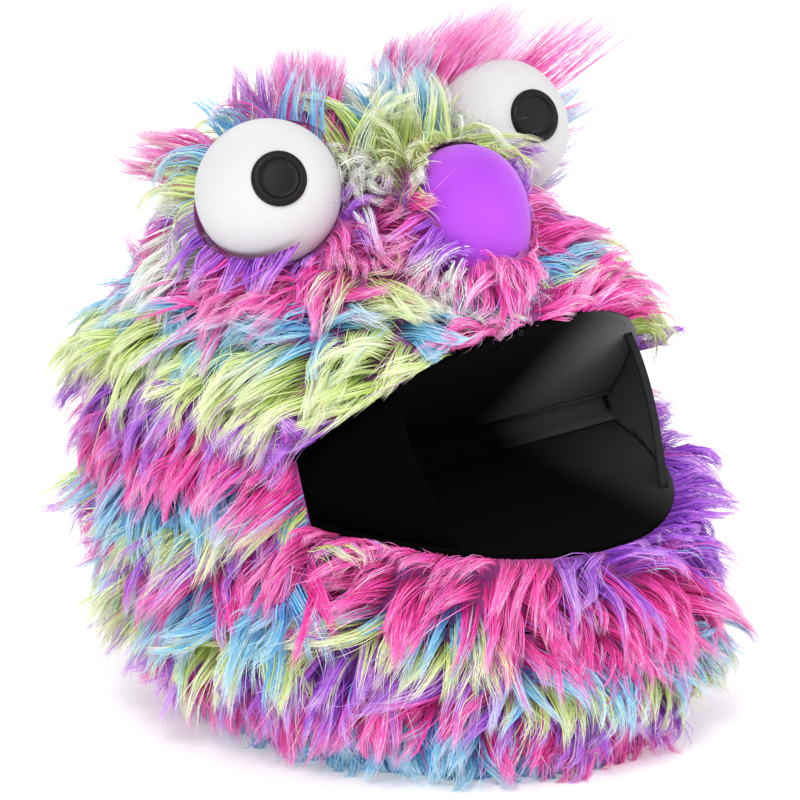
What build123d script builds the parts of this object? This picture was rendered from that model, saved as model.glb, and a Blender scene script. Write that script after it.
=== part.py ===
from build123d import *
import os
from math import cos, radians, sin

# Moving mouth puppet: a furry monster head worked by a hand from below.
# Millimetres. +Z is up, the face looks towards -Y, and the head stands on its hem ring at Z 0.

# Horizontal sections of the foam head: height, half width, half depth, centre in Y,
# and how far the surface leans back there, in degrees from upright.
SECTIONS = [
    (0, 84, 100, -30, 0),
    (12, 97, 114, -25, 0),
    (30, 109, 128, -19, 0),
    (55, 118, 137, -10, 0),
    (100, 122, 142, 4, 0),
    (150, 120, 140.1, 11.2, 0),
    (185, 112, 128, 13, 8),
    (205, 102, 112, 17, 24),
    (220, 91, 93, 24, 37),
    (236, 80, 78, 26, 33),
    (252, 70, 66, 27, 38),
    (266, 56, 53, 27, 52),
    (276, 40, 38, 27, 66),
    (282, 24, 23, 27, 79),
    (285, 8, 8, 27, 90),
]
FOAM = 14  # wall of the foam shell
CROWN_FOAM = 36  # the crown block is thicker, to hold the eyes and nose
FUR = 25  # thickness that the fur takes over the foam
SKIN_GAP = 1.0  # between the foam and the fur
PANEL_GAP = 0.5  # between neighbouring fur panels

# Mouth: a wedge about a hinge that runs through the mouth's corners
HINGE_Y = -12
HINGE_Z = 128
UPPER_ANGLE = 45  # slope of the upper board, up to the front
LOWER_ANGLE = 10.4  # slope of the lower board, down to the front
CORNER_RADIUS = 38  # from the hinge line to the corner of the mouth
JAW_CLEAR = 3  # between the jaw and the fixed foam behind it

BOARD = 4
LINING = 1.5
BOARD_FACE = 1.2  # from the hinge plane to the mouth side of a board
BOARD_START = 9  # from the hinge line to the edge of a board
LINING_START = 18
LINING_INSET = 0.3  # the linings stop this far inside the foam's outer face
GUSSET_THICK = 3.5
GUSSET_UPPER = 84  # how far a gusset reaches along the upper lip, from the hinge line
GUSSET_LOWER = 96  # and along the lower lip

PIN_RADIUS = 2.0
PIN_CLEAR = 0.05
KNUCKLE_RADIUS = 4.0
KNUCKLES = 7
HINGE_LENGTH = 168
LEAF = 1.2
LEAF_WIDTH = 34

HEM = 4  # height of the hem ring
NECK_TOP = 48
CROWN_BASE = 224
BACK_FRONT = -4  # the back panels lie behind this Y
CHIN_FRONT = (-200, 60)  # chin line in side view: Y, Z at the front
CHIN_REAR = (-48, 92)  # and near the mouth's corner

EYE_RADIUS = 34.6
EYE_WALL = 2.5
EYE_CENTRES = {-1: Vector(-78.4, 12.1, 265.7), 1: Vector(78.4, 12.1, 271.7)}  # one sits higher
PUPIL_RADIUS = 13.1
PUPIL_THICK = 2.4
RIGHT_GAZE = Vector(-0.530, -0.748, 0.398)
LEFT_GAZE = Vector(-0.186, -0.916, 0.354)
STUD_RADIUS = 3
STUD_START = 31
WASHER_AT = 51
STUD_END = 62

NOSE_CENTRE = (-10, -53.5, 250.5)
NOSE_LENGTH = 74
NOSE_RADIUS = 29
NOSE_LEAN = 27.7  # degrees that the nose leans back from upright
SEAT = 0.6  # room round a piece that is sunk into foam

WIDE = 260  # more than the head's width and depth

UPPER_DIR = Vector(0, -cos(radians(UPPER_ANGLE)), sin(radians(UPPER_ANGLE)))
UPPER_OUT = Vector(0, sin(radians(UPPER_ANGLE)), cos(radians(UPPER_ANGLE)))
LOWER_DIR = Vector(0, -cos(radians(LOWER_ANGLE)), -sin(radians(LOWER_ANGLE)))
LOWER_OUT = Vector(0, sin(radians(LOWER_ANGLE)), -cos(radians(LOWER_ANGLE)))
HINGE = Vector(0, HINGE_Y, HINGE_Z)

os.makedirs("parts", exist_ok=True)


def save(piece, label):
    piece.label = label
    export_step(piece, f"parts/{label}.step")


def head_shape(grow):
    """The head's outer form, grown outwards by grow, or shrunk where grow is negative."""
    with BuildPart() as shape:
        for height, half_width, half_depth, centre, lean in SECTIONS:
            rise = grow * sin(radians(lean))
            spread = grow * cos(radians(lean))
            with BuildSketch(Plane.XY.offset(height + rise)):
                with Locations((0, centre)):
                    Ellipse(half_width + spread, half_depth + spread)
        loft()
    return shape.part


def side_block(points):
    """A block through the whole width of the head with this outline in side view."""
    with BuildPart() as block:
        with BuildSketch(Plane.YZ):
            with BuildLine():
                Polyline(*points, close=True)
            make_face()
        extrude(amount=WIDE, both=True)
    return block.part


def hinge_disc(radius):
    with BuildPart() as disc:
        with BuildSketch(Plane.YZ):
            with Locations((HINGE_Y, HINGE_Z)):
                Circle(radius)
        extrude(amount=WIDE, both=True)
    return disc.part


def board_plane(direction, out):
    """Side view plane of a board: local X runs from the hinge to the lips, local Y away from the mouth."""
    normal = direction.cross(out)
    return Plane(origin=HINGE, x_dir=direction, z_dir=normal)


UPPER = board_plane(UPPER_DIR, UPPER_OUT)
LOWER = board_plane(LOWER_DIR, LOWER_OUT)


def layer(plane, start, end, low, high, half_width):
    """A slab along a board, from start to end, between two distances from the hinge plane."""
    with BuildPart() as slab:
        with BuildSketch(plane):
            with Locations(((start + end) / 2, (low + high) / 2)):
                Rectangle(end - start, high - low)
        extrude(amount=half_width, both=True)
    return slab.part


def along(vector, distance):
    """Y and Z of the point this far from the hinge line."""
    point = HINGE + vector * distance
    return (point.Y, point.Z)


OUTER = head_shape(0)
INNER = head_shape(-FOAM)
FUR_OUTER = head_shape(FUR)
FUR_INNER = head_shape(SKIN_GAP)
CROWN_HOLLOW = head_shape(-CROWN_FOAM)

FAR = WIDE

# Everything in front of the hinge and above the upper board's mouth side
UPPER_FRONT = layer(UPPER, -FAR, FAR, -BOARD_FACE, FAR, WIDE)


def jaw_side(chin_drop, rear_radius):
    """The jaw's region: under the lower board, above the chin line and in front of the mouth's corner."""
    near = HINGE - LOWER_OUT * BOARD_FACE
    far = near + LOWER_DIR * FAR
    with BuildPart() as region:
        with BuildSketch(Plane.YZ):
            with BuildLine():
                Polyline(
                    (near.Y, near.Z),
                    (far.Y, far.Z),
                    (CHIN_FRONT[0], CHIN_FRONT[1] + chin_drop),
                    (CHIN_REAR[0], CHIN_REAR[1] + chin_drop),
                    (HINGE_Y, CHIN_REAR[1] + chin_drop),
                    close=True,
                )
            make_face()
        extrude(amount=WIDE, both=True)
        add(hinge_disc(rear_radius), mode=Mode.SUBTRACT)
    return region.part


def box_between(low, high):
    with BuildPart() as block:
        with BuildSketch(Plane.XY.offset(low[2])):
            with Locations(((low[0] + high[0]) / 2, (low[1] + high[1]) / 2)):
                Rectangle(high[0] - low[0], high[1] - low[1])
        extrude(amount=high[2] - low[2])
    return block.part


def ball(centre, radius):
    with BuildPart() as sphere:
        with Locations(centre):
            Sphere(radius)
    return sphere.part


def nose_shape(grow):
    """An egg on a leaning axis, with its narrow end down."""
    half = NOSE_LENGTH / 2 + grow
    radius = NOSE_RADIUS + grow
    with BuildPart() as egg:
        with BuildSketch(Plane.XZ):
            with BuildLine() as outline:
                Spline(
                    (0, half),
                    (radius * 0.72, half * 0.74),
                    (radius, half * 0.18),
                    (radius * 0.68, -half * 0.6),
                    (0, -half),
                    tangents=[(1, 0), (-1, 0)],
                )
                Line(outline.line @ 1, outline.line @ 0)
            make_face()
        revolve(axis=Axis.Z)
    return egg.part.rotate(Axis.X, -NOSE_LEAN).translate(NOSE_CENTRE)


def stud_direction(side):
    """From an eye's centre into the crown block."""
    return (Vector(0, 20, 222) - EYE_CENTRES[side]).normalized()


def rod(side, start, end, radius):
    """A round piece on an eye's stud line."""
    way = stud_direction(side)
    origin = EYE_CENTRES[side] + way * start
    with BuildPart() as round_piece:
        with BuildSketch(Plane(origin=origin, z_dir=way)):
            Circle(radius)
        extrude(amount=end - start)
    return round_piece.part


EYE_SEATS = [ball(centre, EYE_RADIUS + SEAT) for centre in EYE_CENTRES.values()]
NOSE = nose_shape(0)
NOSE_SEAT = nose_shape(SEAT)

# ---------------------------------------------------------------- foam skull

with BuildPart() as foam_crown:
    add(OUTER)
    add(box_between((-WIDE, -WIDE, CROWN_BASE), (WIDE, WIDE, WIDE * 2)), mode=Mode.INTERSECT)
    add(CROWN_HOLLOW, mode=Mode.SUBTRACT)
    for seat in EYE_SEATS:
        add(seat, mode=Mode.SUBTRACT)
    add(NOSE_SEAT, mode=Mode.SUBTRACT)
    for side in (-1, 1):
        add(rod(side, WASHER_AT, WASHER_AT + 40, 13), mode=Mode.SUBTRACT)
        add(rod(side, EYE_RADIUS - 2, WASHER_AT + 1, STUD_RADIUS + 0.1), mode=Mode.SUBTRACT)
save(foam_crown.part, "foam_crown")

with BuildPart() as foam_muzzle:
    add(OUTER)
    add(INNER, mode=Mode.SUBTRACT)
    add(box_between((-WIDE, -WIDE, 0), (WIDE, BACK_FRONT, CROWN_BASE)), mode=Mode.INTERSECT)
    add(UPPER_FRONT, mode=Mode.INTERSECT)
    for seat in EYE_SEATS:
        add(seat, mode=Mode.SUBTRACT)
    add(NOSE_SEAT, mode=Mode.SUBTRACT)
    add(side_block([(BACK_FRONT, 0), (-60, 0), (-60, HINGE_Z), (BACK_FRONT, HINGE_Z)]),
        mode=Mode.SUBTRACT)
save(foam_muzzle.part, "foam_muzzle")

with BuildPart() as foam_back:
    add(OUTER)
    add(INNER, mode=Mode.SUBTRACT)
    add(box_between((-WIDE, BACK_FRONT, NECK_TOP), (WIDE, WIDE, CROWN_BASE)), mode=Mode.INTERSECT)
    for seat in EYE_SEATS:
        add(seat, mode=Mode.SUBTRACT)
save(foam_back.part, "foam_back")

with BuildPart() as foam_neck:
    add(OUTER)
    add(INNER, mode=Mode.SUBTRACT)
    add(box_between((-WIDE, -WIDE, HEM), (WIDE, WIDE, NECK_TOP)), mode=Mode.INTERSECT)
save(foam_neck.part, "foam_neck")

with BuildPart() as foam_jaw:
    add(OUTER)
    add(INNER, mode=Mode.SUBTRACT)
    add(jaw_side(4, CORNER_RADIUS + JAW_CLEAR), mode=Mode.INTERSECT)
save(foam_jaw.part, "foam_jaw")

# ------------------------------------------------------- mouth boards and linings

BOARD_SHAPE = head_shape(-FOAM - 0.3)
LINING_SHAPE = head_shape(-LINING_INSET)
GUSSET_INNER = head_shape(-LINING_INSET - GUSSET_THICK)

with BuildPart() as upper_mouth_board:
    add(BOARD_SHAPE)
    add(layer(UPPER, BOARD_START, FAR, -BOARD_FACE, BOARD - BOARD_FACE, WIDE), mode=Mode.INTERSECT)
save(upper_mouth_board.part, "upper_mouth_board")

with BuildPart() as lower_mouth_board:
    add(BOARD_SHAPE)
    add(layer(LOWER, BOARD_START, FAR, -BOARD_FACE, BOARD - BOARD_FACE, WIDE), mode=Mode.INTERSECT)
save(lower_mouth_board.part, "lower_mouth_board")


def lining(plane):
    """Cloth over a board's mouth side, which also covers the foam lip round the board."""
    with BuildPart() as cloth:
        add(LINING_SHAPE)
        add(layer(plane, LINING_START, FAR, -BOARD_FACE - LINING, -BOARD_FACE, WIDE),
            mode=Mode.INTERSECT)
    return cloth.part


save(lining(UPPER), "palate_lining")
save(lining(LOWER), "mouth_floor_lining")

# Cloth that folds over the hinge at the back of the mouth
FOLD_RADIUS = LINING_START - 1.0
with BuildPart() as lining_fold:
    with BuildSketch(Plane.YZ):
        with Locations((HINGE_Y, HINGE_Z)):
            Circle(FOLD_RADIUS)
            Circle(FOLD_RADIUS - LINING, mode=Mode.SUBTRACT)
    extrude(amount=WIDE, both=True)
    add(layer(UPPER, -FAR, FAR, -BOARD_FACE - 1.9, FAR, WIDE), mode=Mode.SUBTRACT)
    add(layer(LOWER, -FAR, FAR, -BOARD_FACE - 1.9, FAR, WIDE), mode=Mode.SUBTRACT)
    add(LINING_SHAPE, mode=Mode.INTERSECT)
save(lining_fold.part, "lining_fold")


def gusset(side):
    """The mouth's side wall, which spans the gap between the two lips beside the mouth's corner."""
    with BuildPart() as wall:
        with BuildSketch(Plane.YZ):
            with BuildLine():
                Polyline(
                    (HINGE_Y, HINGE_Z),
                    along(UPPER_DIR, GUSSET_UPPER),
                    along(LOWER_DIR, GUSSET_LOWER),
                    close=True,
                )
            make_face()
        extrude(amount=side * WIDE)
        add(hinge_disc(LINING_START + 1), mode=Mode.SUBTRACT)
        add(layer(UPPER, -FAR, FAR, -BOARD_FACE - LINING - 0.6, FAR, WIDE), mode=Mode.SUBTRACT)
        add(layer(LOWER, -FAR, FAR, -BOARD_FACE - LINING - 0.6, FAR, WIDE), mode=Mode.SUBTRACT)
        add(LINING_SHAPE, mode=Mode.INTERSECT)
        add(GUSSET_INNER, mode=Mode.SUBTRACT)
    return wall.part


save(gusset(1), "mouth_gusset_left")
save(gusset(-1), "mouth_gusset_right")

# ------------------------------------------------------------------ piano hinge

KNUCKLE_PITCH = HINGE_LENGTH / KNUCKLES
LEAF_LOW = BOARD - BOARD_FACE
LEAF_HIGH = LEAF_LOW + LEAF
SCREW_SPACING = 40
SCREW_RADIUS = 1.6
SCREW_HEAD = 3.0
SCREW_DISTANCE = 24


def knuckle_centres(first):
    return [(k + 0.5) * KNUCKLE_PITCH - HINGE_LENGTH / 2 for k in range(first, KNUCKLES, 2)]


def leaf(plane, first, bore):
    """One hinge leaf, with every second knuckle from the first."""
    out_plane = Plane(origin=HINGE + plane.y_dir * LEAF_LOW, x_dir=(1, 0, 0), z_dir=plane.y_dir)
    toward = 1 if out_plane.y_dir.dot(plane.x_dir) > 0 else -1
    with BuildPart() as piece:
        with BuildSketch(out_plane):
            with Locations((0, toward * (5 + LEAF_WIDTH / 2))):
                Rectangle(HINGE_LENGTH, LEAF_WIDTH)
            for centre in knuckle_centres(first):
                with Locations((centre, toward * 3.5)):
                    Rectangle(KNUCKLE_PITCH - 1, 7)
            with Locations(*screw_spots(toward)):
                Circle(SCREW_RADIUS + 0.1, mode=Mode.SUBTRACT)
        extrude(amount=LEAF)
        for centre in knuckle_centres(first):
            with BuildSketch(Plane.YZ.offset(centre)):
                with Locations((HINGE_Y, HINGE_Z)):
                    Circle(KNUCKLE_RADIUS)
            extrude(amount=(KNUCKLE_PITCH - 1) / 2, both=True)
        with BuildSketch(Plane.YZ):
            with Locations((HINGE_Y, HINGE_Z)):
                Circle(PIN_RADIUS + bore)
        extrude(amount=WIDE, both=True, mode=Mode.SUBTRACT)
    return piece.part


def screw_spots(toward):
    return [(k * SCREW_SPACING, toward * SCREW_DISTANCE) for k in (-1.5, -0.5, 0.5, 1.5)]


def screws(plane, spots, base, shank):
    """Round-headed screws that stand on base and reach shank below it."""
    out_plane = Plane(origin=HINGE + plane.y_dir * base, x_dir=(1, 0, 0), z_dir=plane.y_dir)
    with BuildPart() as group:
        with BuildSketch(out_plane):
            with Locations(*spots):
                Circle(SCREW_HEAD)
        extrude(amount=1.4)
        with BuildSketch(out_plane):
            with Locations(*spots):
                Circle(SCREW_RADIUS)
        extrude(amount=-shank)
    return group.part


def toward_lips(plane):
    out_plane = Plane(origin=HINGE, x_dir=(1, 0, 0), z_dir=plane.y_dir)
    return 1 if out_plane.y_dir.dot(plane.x_dir) > 0 else -1


save(leaf(UPPER, 0, 0), "hinge_leaf_upper")
save(leaf(LOWER, 1, PIN_CLEAR), "hinge_leaf_lower")
save(screws(UPPER, screw_spots(toward_lips(UPPER)), LEAF_HIGH, LEAF), "hinge_screws_upper")
save(screws(LOWER, screw_spots(toward_lips(LOWER)), LEAF_HIGH, LEAF), "hinge_screws_lower")

with BuildPart() as hinge_pin:
    with BuildSketch(Plane.YZ):
        with Locations((HINGE_Y, HINGE_Z)):
            Circle(PIN_RADIUS)
    extrude(amount=HINGE_LENGTH / 2 + 1, both=True)
    for side in (-1, 1):
        with BuildSketch(Plane.YZ.offset(side * (HINGE_LENGTH / 2 + 1))):
            with Locations((HINGE_Y, HINGE_Z)):
                Circle(PIN_RADIUS + 1.2)
        extrude(amount=side * 1.5)
save(hinge_pin.part, "hinge_pin")

# ------------------------------------------------------------ finger strap, thumb loop

STRAP = 2.0


def strap(plane, half_span, height, start, width, foot):
    """A bridge of webbing across a board's hand side, with a flat foot at each end."""
    centre = HINGE + plane.x_dir * (start + width / 2) + plane.y_dir * (BOARD - BOARD_FACE)
    across = Plane(origin=centre, x_dir=(1, 0, 0), z_dir=Vector(1, 0, 0).cross(plane.y_dir))
    with BuildPart() as bridge:
        with BuildSketch(across):
            with BuildLine():
                outer = ThreePointArc((-half_span, 0), (0, height), (half_span, 0))
                Line(outer @ 1, (half_span - STRAP, 0))
                ThreePointArc((half_span - STRAP, 0), (0, height - STRAP), (STRAP - half_span, 0))
                Line((STRAP - half_span, 0), outer @ 0)
            make_face()
            for side in (-1, 1):
                with Locations((side * (half_span - STRAP / 2 + foot / 2), STRAP / 2)):
                    Rectangle(foot, STRAP)
        extrude(amount=width / 2, both=True)
        out_plane = Plane(origin=centre, x_dir=(1, 0, 0), z_dir=plane.y_dir)
        with BuildSketch(out_plane):
            for side in (-1, 1):
                with Locations((side * (half_span + foot / 2), 0)):
                    Circle(SCREW_RADIUS + 0.1)
        extrude(amount=STRAP * 2, both=True, mode=Mode.SUBTRACT)
    return bridge.part


def strap_screws(plane, half_span, start, width, foot):
    distance = toward_lips(plane) * (start + width / 2)
    spots = [(side * (half_span + foot / 2), distance) for side in (-1, 1)]
    return screws(plane, spots, BOARD - BOARD_FACE + STRAP, STRAP)


FINGERS = dict(half_span=44, start=52, width=30, foot=14)
THUMB = dict(half_span=19, start=52, width=26, foot=14)
save(strap(UPPER, height=23, **FINGERS), "finger_strap")
save(strap_screws(UPPER, **FINGERS), "finger_strap_screws")
save(strap(LOWER, height=27, **THUMB), "thumb_loop")
save(strap_screws(LOWER, **THUMB), "thumb_loop_screws")

# --------------------------------------------------------------------- eyes and nose


def eye(side):
    """A hollow ball with a hole for its stud, turned about the stud's line."""
    centre = EYE_CENTRES[side]
    way = stud_direction(side)
    inner = EYE_RADIUS - EYE_WALL
    hole_outer = (EYE_RADIUS**2 - STUD_RADIUS**2) ** 0.5
    hole_inner = (inner**2 - STUD_RADIUS**2) ** 0.5
    with BuildPart() as shell:
        with BuildSketch(Plane(origin=centre, x_dir=way, z_dir=way.cross(Vector(0, 0, 1)))):
            with BuildLine():
                ThreePointArc((hole_outer, STUD_RADIUS), (0, EYE_RADIUS), (-EYE_RADIUS, 0))
                Line((-EYE_RADIUS, 0), (-inner, 0))
                ThreePointArc((-inner, 0), (0, inner), (hole_inner, STUD_RADIUS))
                Line((hole_inner, STUD_RADIUS), (hole_outer, STUD_RADIUS))
            make_face()
        revolve(axis=Axis(centre, way))
    return shell.part


def pupil(side, gaze):
    """A domed disc glued on the eye ball."""
    centre = EYE_CENTRES[side]
    with BuildPart() as disc:
        with Locations(centre):
            Sphere(EYE_RADIUS + PUPIL_THICK)
        with BuildSketch(Plane(origin=centre, z_dir=gaze)):
            Circle(PUPIL_RADIUS)
        extrude(amount=EYE_RADIUS * 2, mode=Mode.INTERSECT)
        with Locations(centre):
            Sphere(EYE_RADIUS, mode=Mode.SUBTRACT)
    return disc.part


save(eye(1), "eye_left")
save(eye(-1), "eye_right")
save(pupil(1, LEFT_GAZE), "pupil_left")
save(pupil(-1, RIGHT_GAZE), "pupil_right")

with BuildPart() as eye_studs:
    for side in (-1, 1):
        add(rod(side, STUD_START, STUD_END, STUD_RADIUS))
        add(rod(side, STUD_START - 2, EYE_RADIUS - EYE_WALL - 0.6, STUD_RADIUS + 3))
save(eye_studs.part, "eye_studs")

with BuildPart() as eye_washers:
    for side in (-1, 1):
        add(rod(side, WASHER_AT, WASHER_AT + 1.6, 10))
        add(rod(side, WASHER_AT - 1, WASHER_AT + 3, STUD_RADIUS), mode=Mode.SUBTRACT)
save(eye_washers.part, "eye_washers")


def nut(side):
    way = stud_direction(side)
    origin = EYE_CENTRES[side] + way * (WASHER_AT + 1.6)
    with BuildPart() as hexagon:
        with BuildSketch(Plane(origin=origin, z_dir=way)):
            RegularPolygon(5.8, 6)
            Circle(STUD_RADIUS, mode=Mode.SUBTRACT)
        extrude(amount=5)
    return hexagon.part


with BuildPart() as eye_nuts:
    for side in (-1, 1):
        add(nut(side))
save(eye_nuts.part, "eye_nuts")

save(NOSE, "nose")

# ------------------------------------------------------------------------ hem and sleeve

with BuildPart() as hem_ring:
    add(OUTER)
    add(head_shape(-FOAM - 3), mode=Mode.SUBTRACT)
    add(box_between((-WIDE, -WIDE, 0), (WIDE, WIDE, HEM)), mode=Mode.INTERSECT)
save(hem_ring.part, "hem_ring")

SLEEVE_TOP = 76
SLEEVE_WALL = 1.6


def cone(bottom, top):
    with BuildPart() as funnel:
        with BuildSketch(Plane.XY.offset(HEM + 0.5)):
            with Locations((0, SECTIONS[0][3])):
                Ellipse(*bottom)
        with BuildSketch(Plane.XY.offset(SLEEVE_TOP)):
            with Locations((0, 8)):
                Ellipse(*top)
        loft()
    return funnel.part


with BuildPart() as arm_sleeve:
    add(cone((68, 84), (60, 56)))
    add(cone((68 - SLEEVE_WALL, 84 - SLEEVE_WALL), (60 - SLEEVE_WALL, 56 - SLEEVE_WALL)),
        mode=Mode.SUBTRACT)
save(arm_sleeve.part, "arm_sleeve")

# -------------------------------------------------------------------------------- fur

FUR_BASE = 1.5
EYE_ROOM = 3.5  # between an eye ball and the fur, for its pupil
FUR_CORNER = CORNER_RADIUS + 16  # the cheeks fill the ring between the corner and this radius
EYE_FUR = [ball(centre, EYE_RADIUS + EYE_ROOM) for centre in EYE_CENTRES.values()]
NOSE_FUR = nose_shape(2)
NECK_SEAM = NECK_TOP - 4


def fur_panel(region, cuts=()):
    """The layer of fur over the foam inside one region of the head."""
    with BuildPart() as panel:
        add(FUR_OUTER)
        add(FUR_INNER, mode=Mode.SUBTRACT)
        add(region, mode=Mode.INTERSECT)
        for cut in cuts:
            add(cut, mode=Mode.SUBTRACT)
        for hole in EYE_FUR:
            add(hole, mode=Mode.SUBTRACT)
        add(NOSE_FUR, mode=Mode.SUBTRACT)
    return panel.part


CHEEK_DISC = hinge_disc(FUR_CORNER)
CROWN_SEAM = CROWN_BASE + 2

crown_region = box_between((-WIDE, -WIDE, CROWN_SEAM + PANEL_GAP), (WIDE, WIDE, WIDE * 2))
save(fur_panel(crown_region), "fur_crown")

back_region = box_between((-WIDE, BACK_FRONT + PANEL_GAP, NECK_SEAM + PANEL_GAP),
                          (WIDE, WIDE, CROWN_SEAM))
save(fur_panel(back_region, [CHEEK_DISC]), "fur_back")

with BuildPart() as muzzle_region:
    add(box_between((-WIDE, -WIDE, 0), (WIDE, BACK_FRONT, CROWN_SEAM)))
    add(UPPER_FRONT, mode=Mode.INTERSECT)
    add(CHEEK_DISC, mode=Mode.SUBTRACT)
save(fur_panel(muzzle_region.part), "fur_muzzle")

neck_region = box_between((-WIDE, -WIDE, FUR_BASE), (WIDE, WIDE, NECK_SEAM))
save(fur_panel(neck_region), "fur_neck")

save(fur_panel(jaw_side(0, FUR_CORNER + JAW_CLEAR)), "fur_jaw")

# Loose fur cloth under the chin, between the jaw and the neck
with BuildPart() as throat_region:
    with BuildSketch(Plane.YZ):
        with BuildLine():
            Polyline(
                (CHIN_FRONT[0], CHIN_FRONT[1] - 1),
                (CHIN_REAR[0], CHIN_REAR[1] - 1),
                (BACK_FRONT, CHIN_REAR[1] - 1),
                (BACK_FRONT, NECK_SEAM + PANEL_GAP),
                (CHIN_FRONT[0], NECK_SEAM + PANEL_GAP),
                close=True,
            )
        make_face()
    extrude(amount=WIDE, both=True)
    add(hinge_disc(FUR_CORNER + 1), mode=Mode.SUBTRACT)
save(fur_panel(throat_region.part), "fur_throat")


def cheek(side):
    """Fur cloth round a corner of the mouth, which gives as the jaw moves."""
    with BuildPart() as region:
        add(hinge_disc(FUR_CORNER - PANEL_GAP))
        add(box_between((min(0, side * WIDE), -WIDE, 0), (max(0, side * WIDE), WIDE, WIDE)),
            mode=Mode.INTERSECT)
        with BuildSketch(Plane.YZ):
            with BuildLine():
                Polyline(
                    along(UPPER_DIR, CORNER_RADIUS),
                    along(UPPER_DIR, FAR),
                    along(LOWER_DIR, FAR),
                    along(LOWER_DIR, CORNER_RADIUS),
                    close=True,
                )
            make_face()
        extrude(amount=WIDE, both=True, mode=Mode.SUBTRACT)
    return fur_panel(region.part)


save(cheek(1), "fur_cheek_left")
save(cheek(-1), "fur_cheek_right")
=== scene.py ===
import bmesh
import bpy
import math
import numpy as np
from mathutils import Matrix, Vector
from mathutils.kdtree import KDTree


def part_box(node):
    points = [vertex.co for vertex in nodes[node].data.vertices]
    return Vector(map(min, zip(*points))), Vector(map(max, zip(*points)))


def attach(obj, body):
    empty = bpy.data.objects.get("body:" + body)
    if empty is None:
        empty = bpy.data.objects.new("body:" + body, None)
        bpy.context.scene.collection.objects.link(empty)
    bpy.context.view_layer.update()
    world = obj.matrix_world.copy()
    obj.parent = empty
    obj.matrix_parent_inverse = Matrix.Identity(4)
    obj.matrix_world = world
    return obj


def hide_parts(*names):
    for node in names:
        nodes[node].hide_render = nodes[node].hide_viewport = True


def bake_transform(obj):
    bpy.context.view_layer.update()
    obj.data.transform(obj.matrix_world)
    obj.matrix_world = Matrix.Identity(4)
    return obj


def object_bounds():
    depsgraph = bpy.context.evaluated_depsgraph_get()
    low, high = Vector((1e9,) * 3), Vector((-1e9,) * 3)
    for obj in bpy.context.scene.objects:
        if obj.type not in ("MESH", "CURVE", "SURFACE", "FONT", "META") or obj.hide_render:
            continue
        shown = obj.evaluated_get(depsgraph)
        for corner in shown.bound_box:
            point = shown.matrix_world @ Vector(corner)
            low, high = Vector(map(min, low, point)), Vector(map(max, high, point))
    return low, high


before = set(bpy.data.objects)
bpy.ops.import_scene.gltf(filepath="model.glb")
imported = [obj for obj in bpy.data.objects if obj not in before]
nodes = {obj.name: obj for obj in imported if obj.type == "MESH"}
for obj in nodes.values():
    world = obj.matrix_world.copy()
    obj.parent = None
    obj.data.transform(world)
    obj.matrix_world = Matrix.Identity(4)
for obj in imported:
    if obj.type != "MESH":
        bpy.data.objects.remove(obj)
cad_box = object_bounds()
rng = np.random.default_rng(11)

# The mouth, as the CAD has it, in metres: two boards that run forwards from the hinge, one rising
# and one falling. Each has a direction along it and one out of the mouth through it.
HINGE = np.array([0.0, -0.012, 0.128])
UPPER = math.radians(45.0)
LOWER = math.radians(10.4)
UPPER_DIR = np.array([0, -math.cos(UPPER), math.sin(UPPER)])
UPPER_OUT = np.array([0, math.sin(UPPER), math.cos(UPPER)])
LOWER_DIR = np.array([0, -math.cos(LOWER), -math.sin(LOWER)])
LOWER_OUT = np.array([0, math.sin(LOWER), -math.cos(LOWER)])
CORNER = 0.038  # from the hinge to the mouth's corners

# The right eye comes first. A gaze is the way from the eye's centre through its pupil.
EYES = [np.array((low + high) / 2) for low, high in (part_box("eye_right"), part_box("eye_left"))]
EYE_RADIUS = (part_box("eye_left")[1].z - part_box("eye_left")[0].z) / 2
GAZES = [Vector((-0.530, -0.748, 0.398)), Vector((-0.186, -0.916, 0.354))]

# The nose is an egg that leans back
NOSE_CENTRE = np.array([-0.010, -0.0535, 0.2505])
NOSE_LEAN = math.radians(27.7)
NOSE_HALF = 0.037
NOSE_RADIUS = 0.029
NOSE_AXIS = np.array([0, math.sin(NOSE_LEAN), math.cos(NOSE_LEAN)])

MIDDLE_Y = 0.015  # where the head's upright middle line stands


def linear(r, g, b):
    """A display colour of 0 to 255 as the linear colour that a shader takes."""
    out = []
    for c in (r, g, b):
        c /= 255
        out.append(c / 12.92 if c <= 0.04045 else ((c + 0.055) / 1.055) ** 2.4)
    return (*out, 1.0)


def unit(v):
    """Vectors made one long."""
    return v / np.maximum(np.linalg.norm(v, axis=-1, keepdims=True), 1e-9)


# ------------------------------------------------------------------ materials


def material(name, colour, rough=0.6, **sockets):
    """A plain material. The other sockets are named with _ for a space."""
    m = bpy.data.materials.new(name)
    m.use_nodes = True
    shader = m.node_tree.nodes["Principled BSDF"]
    shader.inputs["Base Color"].default_value = colour
    shader.inputs["Roughness"].default_value = rough
    for key, value in sockets.items():
        shader.inputs[key.replace("_", " ")].default_value = value
    return m


def bump(m, kind, scale, strength, distance=0.001, detail=3.0):
    """Relief from a noise or a cell pattern, in the object's own coordinates."""
    tree = m.node_tree
    shader = tree.nodes["Principled BSDF"]
    where = tree.nodes.new("ShaderNodeTexCoord")
    texture = tree.nodes.new(
        "ShaderNodeTexVoronoi" if kind == "cells" else "ShaderNodeTexNoise"
    )
    texture.inputs["Scale"].default_value = scale
    if kind != "cells":
        texture.inputs["Detail"].default_value = detail
    relief = tree.nodes.new("ShaderNodeBump")
    relief.inputs["Strength"].default_value = strength
    relief.inputs["Distance"].default_value = distance
    tree.links.new(where.outputs["Object"], texture.inputs["Vector"])
    tree.links.new(texture.outputs[0], relief.inputs["Height"])
    tree.links.new(relief.outputs["Normal"], shader.inputs["Normal"])
    return m


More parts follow.
